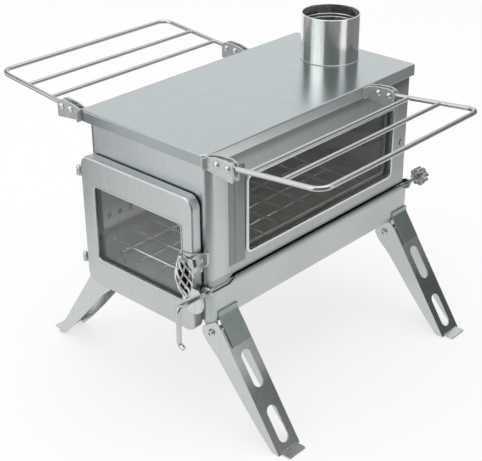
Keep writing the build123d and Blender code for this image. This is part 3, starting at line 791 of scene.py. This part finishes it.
@dataclass
class FlueCollar(SubAssembly):
    """The lid with the short pipe that takes the flue."""

    looks: Looks = ((LID_STEEL, "top_plate", "collar_ring"), (POLISHED, "flue_collar"))
    centre: Point = (0.0, 0.1215, 0.296)
    outer: float = 31.7 * MM
    wall: float = 1.2 * MM
    height: float = 50.0 * MM
    rim: float = 0.9 * MM
    rim_over: float = 0.5 * MM
    weld: float = 1.1 * MM
    step_drops: Pair = (11.0 * MM, 14.5 * MM)
    step_wide: float = 0.8 * MM
    step_tall: float = 1.2 * MM

    def model(self) -> None:
        """Add the rolled rim, the weld bead and the inner beads."""
        rim = self.bead("collar_rolled_rim", self.height - self.rim / 2, self.outer - self.wall / 2,
                        self.wall + self.rim_over, self.rim)
        rim.close(POLISHED)
        weld = self.bead("collar_weld_bead", self.weld / 3, self.outer + self.weld / 5, self.weld,
                         self.weld)
        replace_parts(weld.close(LID_STEEL), "collar_ring")
        for number, drop in enumerate(self.step_drops, 1):
            step = self.bead(f"collar_inner_bead_{number}", self.height - drop, self.outer - self.wall,
                             self.step_wide, self.step_tall)
            step.close(POLISHED)

    def bead(self, name: str, lift: float, radius: float, thick: float, tall: float) -> Piece:
        """Spin a small round profile into a closed bead about the flue's axis.

        Args:
            name: The piece's name.
            lift: How far it lies above the lid.
            radius: The radius of the profile's middle.
            thick: How far the profile reaches across.
            tall: How far the profile reaches along the axis.

        Returns:
            The open piece.
        """
        x, y, z = self.centre
        piece = section(name, (x + radius, y, z + lift), 1.0, 10, (QUARTER, 0.0, 0.0), filled=False,
                        scale=(thick / 2, tall / 2, 1.0))
        piece.spin((x, y, z + lift), (0.0, 0.0, 1.0), steps=96)
        return piece


@dataclass
class StoveBody(SubAssembly):
    """The wrapped shell, the base tray and everything fixed to them."""

    looks: Looks = (
        (BODY_STEEL, "body_shell", "front_plate"), (RIM_STEEL, "side_window_rim"),
        (BAND_STEEL, "base_tray", "sill"), (INNER_STEEL, "left_liner", "side_retainer", "side_screws"),
        (FLOOR_STEEL, "floor_liner"), (SCORCHED, "baffle", "baffle_hangers"),
        (GRATE_STEEL, "grate_cross_rods", "grate_long_rods", "grate_feet"), (SIDE_PANE, "side_glass"),
        (ROPE, "side_gasket"), (STOP_STEEL, "leg_stops"),
        (BRACKET_STEEL, "shelf_brackets", "latch_keeper", "hinge_ears", "leg_brackets"),
        (HARDWARE, "hinge_pins", "leg_bolts", "shelf_pins", "rod_guides", "rod_shield"))
    side_x: float = 82.0 * MM
    seam_y: Pair = (-0.1270, -0.1058)
    seam_z: Pair = (0.1695, 0.2700)
    seam_thick: float = 0.35 * MM
    seam_step: float = 0.6 * MM
    seam_fold: float = -0.1190
    seam_slope: float = 0.5 * MM
    seam_crown: float = 0.14 * MM
    hem_y: Pair = (-0.1445, 0.1560)
    corner_r: float = 10.0 * MM
    hem_z: Pair = (0.1602, 0.1616)
    hem_thick: float = 1.0 * MM
    tab_long: float = 22.0 * MM
    tab_deep: float = 4.3 * MM
    strip_line: Tuple[Pair, ...] = (
        (-0.0480, 0.1590), (-0.0360, 0.1618), (-0.0210, 0.1660), (-0.0040, 0.1729),
        (0.0175, 0.1836), (0.0355, 0.1930), (0.0520, 0.2035), (0.0630, 0.2110))
    strip_y: float = 0.1603
    strip_thick: float = 3.6 * MM
    mark_at: Pair = (0.1490, 0.2100)
    mark_bend: float = 3.4 * MM
    mark_thick: float = 1.1 * MM
    mark_turn: float = 150.0
    pin_x: Pair = (99.0 * MM, 112.0 * MM)
    pin_z: float = 0.292
    washer_r: float = 3.1 * MM
    washer_thick: float = 1.2 * MM
    washer_in: float = 1.75 * MM
    bolt_x: float = 78.5 * MM
    bolt_z: float = 104.0 * MM
    bolt_long: float = 35.5 * MM
    bolt_in: float = 2.0 * MM
    cap_r: float = 2.7 * MM
    cap_out: float = 1.75 * MM
    cap_thick: float = 0.9 * MM
    cap_rim: float = 0.35 * MM
    cap_crown: float = 0.12 * MM
    socket_rim: float = 0.55 * MM
    socket_deep: float = 0.9 * MM
    socket_r: float = 1.9 * MM

    def model(self) -> None:
        """Add the small parts that are fixed to the shell and the tray."""
        self.seam()
        self.hem()
        self.corner_hem()
        self.bowed_strip()
        self.weld_mark()
        self.pin_washers()
        self.bolt_sockets()

    def seam(self) -> None:
        """Lay the lapped strip of the wrapped sheet beside the window."""
        strip = plate("shell_lapped_seam", self.seam_y, self.seam_z, self.side_x + PROUD, "X")
        strip.pull(self.seam_thick, 0.0, 0.0)
        strip.take_all()
        bpy.ops.mesh.bisect(plane_co=(0.0, self.seam_fold, 0.0), plane_no=(0.0, 1.0, 0.0))
        top = self.side_x + PROUD + self.seam_thick
        strip.pick(lambda place: place.x > top - NEAR and place.y > self.seam_fold, "FACE")
        strip.pull(self.seam_step, 0.0, 0.0)
        bpy.ops.mesh.inset(thickness=self.seam_slope, use_even_offset=True)
        bpy.ops.transform.translate(value=(self.seam_crown, 0.0, 0.0))
        strip.tidy_normals()
        strip.close(SEAM_STEEL, "base", "body_steel", smooth=0.3)

    def hem(self) -> None:
        """Fold a hem along the foot of the right wall, deeper over the rod at the front corner."""
        tab_end = self.hem_y[0] + self.tab_long
        foot = self.hem_z[0]
        strip = plate("shell_foot_hem", self.hem_y, self.hem_z, self.side_x + PROUD, "X")
        bpy.ops.mesh.bisect(plane_co=(0.0, tab_end, 0.0), plane_no=(0.0, 1.0, 0.0))
        strip.pick(lambda place: place.y < tab_end - 10 * NEAR and place.z < foot + NEAR, "EDGE")
        strip.pull(0.0, 0.0, -self.tab_deep, edges=True)
        strip.pick(lambda place: place.z < foot - self.tab_deep + NEAR and place.y > tab_end - 10 * NEAR)
        bpy.ops.transform.translate(value=(0.0, -self.tab_deep, 0.0))
        strip.take_all()
        strip.pull(-self.hem_thick, 0.0, 0.0)
        strip.tidy_normals()
        strip.close(BODY_STEEL, "base", "body_steel", smooth=0.3)

    def corner_hem(self) -> None:
        """Carry the deep end of the hem round the front corner."""
        low = self.hem_z[0] - self.tab_deep
        bend = plate("shell_corner_hem", (self.side_x - self.hem_thick, self.side_x),
                     (low, self.hem_z[1]), self.hem_y[0], "Y")
        bend.spin((self.side_x - self.corner_r, self.hem_y[0], low), (0.0, 0.0, 1.0), steps=12,
                  angle=QUARTER)
        bend.close(BODY_STEEL, "base", "body_steel")

    def bowed_strip(self) -> None:
        """Bend the near-black strip across the rear wall inside the firebox, a painted shade line where
        the wall is in shade.
        """
        places = [Vector((x, self.strip_y, z)) for x, z in self.strip_line]
        strip = drawn_wire("firebox_bowed_strip", places, self.strip_thick, (0.0, QUARTER, 0.0))
        strip.close(SHADE_STRIP_STEEL, "base", "inner_steel", smooth=0.9)

    def weld_mark(self) -> None:
        """Lay the short curved bead near the rear end of the right wall."""
        y, z = self.mark_at
        bead = section("side_weld_mark", (self.side_x, y, z + self.mark_bend), self.mark_thick / 2, 10,
                       (0.0, QUARTER, QUARTER))
        bead.spin((self.side_x, y, z), (-1.0, 0.0, 0.0), steps=14, angle=math.radians(self.mark_turn))
        bead.close(SOCKET_SHADE_AND_BEAD_STEEL, "base", "body_steel", smooth=0.9)

    def pin_washers(self) -> None:
        """Turn a raised washer round the heads of the shelf pins."""
        low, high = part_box("shelf_pins")
        heads = [(x, y - way * self.washer_in) for across in self.pin_x for x in (-across, across)
                 for y, way in ((low[1], -1), (high[1], 1))]
        for number, (x, y) in enumerate(heads, 1):
            ring = section(f"shelf_pin_washer_{number}", (x + self.washer_r, y, self.pin_z),
                           self.washer_thick / 2, 8, filled=False)
            ring.spin((x, y, self.pin_z), (0.0, 1.0, 0.0), steps=28)
            ring.close(HARDWARE, smooth=0.9)

    def bolt_sockets(self) -> None:
        """Sink a socket into a cap on each end of the leg bolts."""
        for number, (x, y, z, way) in enumerate(self.bolt_ends(), 1):
            calm()
            bpy.ops.mesh.primitive_cylinder_add(vertices=24, radius=self.cap_r, depth=self.cap_thick,
                                                end_fill_type="NGON", rotation=(-way * QUARTER, 0.0, 0.0),
                                                location=(x, y + way * self.cap_out, z))
            settle()
            cap = Piece(f"leg_bolt_cap_{number}")
            face = y + way * (self.cap_out + self.cap_thick / 2)
            cap.pick(lambda place: abs(place.y - face) < NEAR, "FACE")
            bpy.ops.mesh.inset(thickness=self.cap_rim)
            bpy.ops.transform.translate(value=(0.0, way * self.cap_crown, 0.0))
            bpy.ops.mesh.inset(thickness=self.socket_rim)
            cap.pull(0.0, -way * self.socket_deep, 0.0)
            cap.tidy_normals()
            done = cap.close(HARDWARE, smooth=0.7)
            # Painted shade: the sunken socket's faces take the near-black steel.
            done.data.materials.append(SOCKET_SHADE_AND_BEAD_STEEL.build())
            for polygon in done.data.polygons:
                if math.hypot(polygon.center.x - x, polygon.center.z - z) < self.socket_r:
                    polygon.material_index = 1

    def bolt_ends(self) -> List[Tuple[float, float, float, int]]:
        """Where the leg bolts end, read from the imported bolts, with the way each end faces."""
        low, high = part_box("leg_bolts")
        ends = ((low[1], -1), (low[1] + self.bolt_long, 1), (high[1] - self.bolt_long, -1), (high[1], 1))
        return [(x, y - way * self.bolt_in, self.bolt_z, way)
                for x in (-self.bolt_x, self.bolt_x) for y, way in ends]


@dataclass
class FireDoor(SubAssembly):
    """The glazed fire door with its latch and cage handle."""

    looks: Looks = (
        (DOOR_STEEL, "door_pan", "latch_plate", "door_knuckles"), (HARDWARE, "door_studs", "latch_bolt"),
        (INNER_STEEL, "door_retainer"), (ROPE, "door_glass_seal", "door_gasket"),
        (DOOR_PANE, "door_glass"), (CAGE_STEEL, "latch_cage"))
    pane_x: Pair = (-0.0635, 0.058)
    pane_z: Pair = (0.140, 0.2215)
    corner: float = 4.5 * MM
    face_y: float = -0.1670
    lip: float = 1.8 * MM
    lip_deep: float = 2.2 * MM
    lip_proud: float = 0.05 * MM
    lip_round: float = 0.9 * MM
    lip_thick: float = 0.35 * MM
    near: float = 0.6 * MM
    core_top: Point = (0.0771, -0.1843, 0.2005)
    core_long: float = 36.5 * MM
    core_lean: float = 0.121
    core_r: Tuple[float, ...] = (0.0018, 0.0034, 0.0048, 0.0056, 0.0058, 0.0055, 0.0046, 0.0032, 0.0018)
    cage_long: float = 40.0 * MM
    cage_rise: float = 2.1 * MM
    strands: int = 6
    strand_parts: int = 18
    strand_last: int = 13
    strand_turn: float = 150.0
    strand_thick: float = 1.5 * MM
    strand_r: Pair = (2.0 * MM, 6.9 * MM)

    def model(self) -> None:
        """Roll the window's lip and fill the cage."""
        self.window_lip()
        self.cage_core()
        for number in range(self.strands):
            self.strand(number)

    def cage_core(self) -> None:
        """Fill the cage with a near-black spindle for its wires to wind over, which paints the shade
        inside the cage.
        """
        x, y, z = self.core_top
        core = section("latch_cage_core", (x, y, z), self.core_r[0], 20)
        down = self.core_long / (len(self.core_r) - 1)
        for number, (now, after) in enumerate(zip(self.core_r, self.core_r[1:]), 1):
            core.pull(down * self.core_lean, 0.0, -down)
            middle = (x + down * self.core_lean * number, y, z - down * number)
            bpy.ops.transform.resize(value=(after / now, after / now, 1.0), center_override=middle)
        core.tidy_normals()
        core.close(CAGE_SHADE_CORE_STEEL, "latch", "polished_steel", smooth=0.8)

    def strand(self, number: int) -> None:
        """Draw one cross strand, which winds down the cage against the cage's own wires.

        Args:
            number: Which strand, from 0.
        """
        x, y, z = self.core_top
        slim, wide = self.strand_r
        places = []
        for step in range(1, self.strand_last + 1):
            along = step / self.strand_parts
            reach = slim + (wide - slim) * math.sin(math.pi * along)
            angle = FULL * number / self.strands - math.radians(self.strand_turn) * along
            drop = self.cage_long * along
            places.append(Vector((x + drop * self.core_lean + reach * math.cos(angle),
                                  y + reach * math.sin(angle), z + self.cage_rise - drop)))
        wire = drawn_wire(f"latch_cage_strand_{number + 1}", places, self.strand_thick)
        wire.close(CAGE_STEEL, "latch", "polished_steel", smooth=0.9)

    def window_lip(self) -> None:
        """Roll the edge of the door's window inwards."""
        wide = self.lip
        lip = plate("door_window_lip", (self.pane_x[0] - wide, self.pane_x[1] + wide),
                    (self.pane_z[0] - wide, self.pane_z[1] + wide), self.face_y - self.lip_proud, "Y")
        bpy.ops.mesh.bevel(offset=self.corner + wide, segments=8, affect="VERTICES")
        lip.take_all()
        bpy.ops.mesh.inset(thickness=wide, use_even_offset=True)
        bpy.ops.mesh.delete(type="FACE")
        lip.pick(self.on_window, "EDGE")
        lip.pull(0.0, self.lip_deep, 0.0, edges=True)
        lip.pick(lambda place: self.on_window(place) and place.y < self.face_y, "EDGE")
        bpy.ops.mesh.bevel(offset=self.lip_round, segments=3, affect="EDGES")
        lip.tidy_normals()
        lip.thicken(self.lip_thick)
        lip.close(LIP_STEEL, "door", "door_steel", smooth=0.9)

    def on_window(self, place: Vector) -> bool:
        """Tell whether a place lies on the outline of the window, whatever its depth.

        Args:
            place: The place.

        Returns:
            Whether it lies on the outline.
        """
        over = []
        for value, (low, high) in ((place.x, self.pane_x), (place.z, self.pane_z)):
            straight = (high - low) / 2 - self.corner
            over.append(max(abs(value - (low + high) / 2) - straight, 0.0))
        return abs(math.hypot(*over) - self.corner) < self.near


@dataclass
class AirRod(SubAssembly):
    """The air control rod with its knob."""

    looks: Looks = ((WIRE_STEEL, "control_rod"), (KNOB_STEEL, "rod_knob"))


@dataclass
class Legs(SubAssembly):
    """The four folding legs."""

    looks: Looks = (
        (LEG_STEEL, "leg_front_left", "leg_front_right", "leg_rear_left", "leg_rear_right"),)


@dataclass
class Shelves(SubAssembly):
    """The two folding wire shelves."""

    looks: Looks = ((WIRE_STEEL, "shelf_left", "shelf_right"),)


@dataclass
class Studio:
    """A pale floor, soft lamps and the camera that took the photograph."""

    lens_mm: float = 83.324
    sensor_mm: float = 36.0
    camera_at: Point = (0.71726, -0.79783, 0.69574)
    azimuth: float = 42.6234
    elevation: float = 27.819
    roll: float = -0.2572
    shift_x: float = -0.00443
    floor_tone: Colour = (0.93, 0.93, 0.93)
    floor_size: float = 14.0
    floor_drop: float = 0.2 * MM
    backdrop: float = 0.66
    room: float = 0.85
    flag_y: float = 0.12
    flag_drop: float = 0.1 * MM
    flag_tone: Colour = (0.23, 0.235, 0.24)
    flag_arcs: Tuple[Tuple[float, float, float, float, float], ...] = (
        (-74.0, -12.0, 0.60, 0.0, 0.75), (13.0, 100.0, 0.60, 0.0, 0.75),
        (180.0, 237.0, 0.60, 0.0, 0.18), (186.0, 232.0, 0.60, 0.40, 0.72))

    def make(self) -> None:
        """Set the whole studio up."""
        self.floor()
        self.world()
        for number, arc in enumerate(self.flag_arcs, 1):
            self.flag(number, *arc)
        self.lamp("key", (-1.4, -1.9, 1.9), (0.0, 0.0, 0.15), (4.2, 4.2), 18.0)
        self.lamp("strip", (-0.15, -1.30, 1.08), (0.0, 0.12, 0.30), (1.15, 0.60), 1.8)
        self.lamp("top", (0.2, 0.2, 2.2), (0.0, 0.0, 0.2), (1.6, 1.6), 9.0)
        self.camera()
        bpy.context.scene.view_settings.view_transform = "Standard"

    def matte(self, name: str, tone: Colour, rough: float) -> Tuple[Material, Graph]:
        """Make a matte surface for the floor or a card.

        Args:
            name: The material's name.
            tone: Its colour.
            rough: Its roughness.

        Returns:
            The material and its graph.
        """
        material, graph = new_material(name)
        graph.fill(graph.shader, {"Base Color": (*tone, 1.0), "Roughness": rough,
                                  "Specular IOR Level": 0.0})
        return material, graph

    def floor(self) -> None:
        """Lay the pale floor."""
        calm()
        bpy.ops.mesh.primitive_plane_add(size=self.floor_size, location=(0.0, 0.0, -self.floor_drop))
        ground = bpy.context.object
        ground.name = "studio_floor"
        material, graph = self.matte("studio floor", self.floor_tone, 0.9)
        white = graph.add("ShaderNodeEmission", {"Color": (1.0, 1.0, 1.0, 1.0), "Strength": 1.0})
        mixed = graph.add("ShaderNodeMixShader", {0: graph.times(self.seen(graph), self.backdrop),
                                                  1: graph.shader.outputs[0],
                                                  2: white.outputs[0]})
        graph.feed(graph.tree.nodes["Material Output"].inputs["Surface"], mixed.outputs[0])
        ground.data.materials.append(material)

    def world(self) -> None:
        """Light the room evenly, with a white backdrop."""
        world = bpy.data.worlds.new("studio")
        bpy.context.scene.world = world
        world.use_nodes = True
        graph = Graph(world.node_tree)
        strength = graph.math("ADD", graph.times(self.seen(graph), 1.0 - self.room), self.room)
        graph.fill(world.node_tree.nodes["Background"],
                   {"Strength": strength, "Color": (1.0, 1.0, 1.0, 1.0)})

    def seen(self, graph: Graph) -> Socket:
        """Mask the rays that see the backdrop: from the camera, off gloss and through glass."""
        path = graph.add("ShaderNodeLightPath").outputs
        return graph.math("MAXIMUM", path["Is Camera Ray"],
                          graph.math("MAXIMUM", path["Is Glossy Ray"], path["Is Transmission Ray"]))

    def flag(self, number: int, start: float, end: float, radius: float, low: float, high: float) -> None:
        """Stand one curved dark card beside the stove, which only its polished metal mirrors.

        Args:
            number: The card's number.
            start: Where it starts, in degrees about the flue's axis.
            end: Where it ends.
            radius: How far it stands from that axis.
            low: Its lower edge.
            high: Its upper edge.
        """
        calm()
        middle = (0.0, self.flag_y, (low + high) / 2 - self.flag_drop)
        bpy.ops.mesh.primitive_cylinder_add(vertices=120, radius=radius, depth=high - low,
                                            end_fill_type="NOTHING", location=middle)
        settle()
        card = Piece(f"studio_flag_{number}")

        def outside(place: Vector) -> bool:
            """Tell whether a place is beyond the ends of this card."""
            angle = math.degrees(math.atan2(place.y - self.flag_y, place.x))
            return (angle - start) % 360.0 + start > end

        card.pick(outside, "FACE")
        bpy.ops.mesh.delete(type="FACE")
        calm()
        thing = card.thing
        name = "studio flag"
        known = bpy.data.materials.get(name) or self.matte(name, self.flag_tone, 1.0)[0]
        thing.data.materials.append(known)
        thing.visible_camera = thing.visible_diffuse = thing.visible_shadow = False
        thing.visible_transmission = thing.visible_volume_scatter = False

    def lamp(self, name: str, at: Point, aim: Point, size: Pair, watts: float) -> None:
        """Hang one soft box.

        Args:
            name: The lamp's name.
            at: Where it hangs.
            aim: What it points at.
            size: Its width and height.
            watts: Its power.
        """
        data = bpy.data.lights.new(name, "AREA")
        data.shape = "RECTANGLE"
        data.size, data.size_y = size
        data.energy = watts
        lamp = bpy.data.objects.new(name, data)
        bpy.context.scene.collection.objects.link(lamp)
        lamp.location = at
        lamp.rotation_euler = (Vector(aim) - Vector(at)).to_track_quat("-Z", "Y").to_euler()

    def camera(self) -> None:
        """Stand the camera where the photograph was taken."""
        data = bpy.data.cameras.new("camera")
        data.lens, data.sensor_width, data.shift_x = self.lens_mm, self.sensor_mm, self.shift_x
        data.clip_start, data.clip_end = 0.05, 50.0
        camera = bpy.data.objects.new("camera", data)
        bpy.context.scene.collection.objects.link(camera)
        bpy.context.scene.camera = camera
        turn, lift, roll = (math.radians(angle) for angle in (self.azimuth, self.elevation, self.roll))
        back = Vector((math.sin(turn) * math.cos(lift), -math.cos(turn) * math.cos(lift), math.sin(lift)))
        right = Vector((math.cos(turn), math.sin(turn), 0.0))
        up = back.cross(right)
        right, up = (math.cos(roll) * right + math.sin(roll) * up,
                     math.cos(roll) * up - math.sin(roll) * right)
        placed = Matrix((right, up, back)).transposed().to_4x4()
        placed.translation = Vector(self.camera_at)
        camera.matrix_world = placed


def main() -> None:
    """Build the stove and the studio in order."""
    logging.basicConfig(level=logging.INFO, format="%(message)s")
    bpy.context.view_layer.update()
    for part in (FlueCollar(), StoveBody(), FireDoor(), AirRod(), Legs(), Shelves(), Studio()):
        part.make()
        LOG.info("%s done", type(part).__name__)
    calm()


if __name__ == "__main__":
    main()
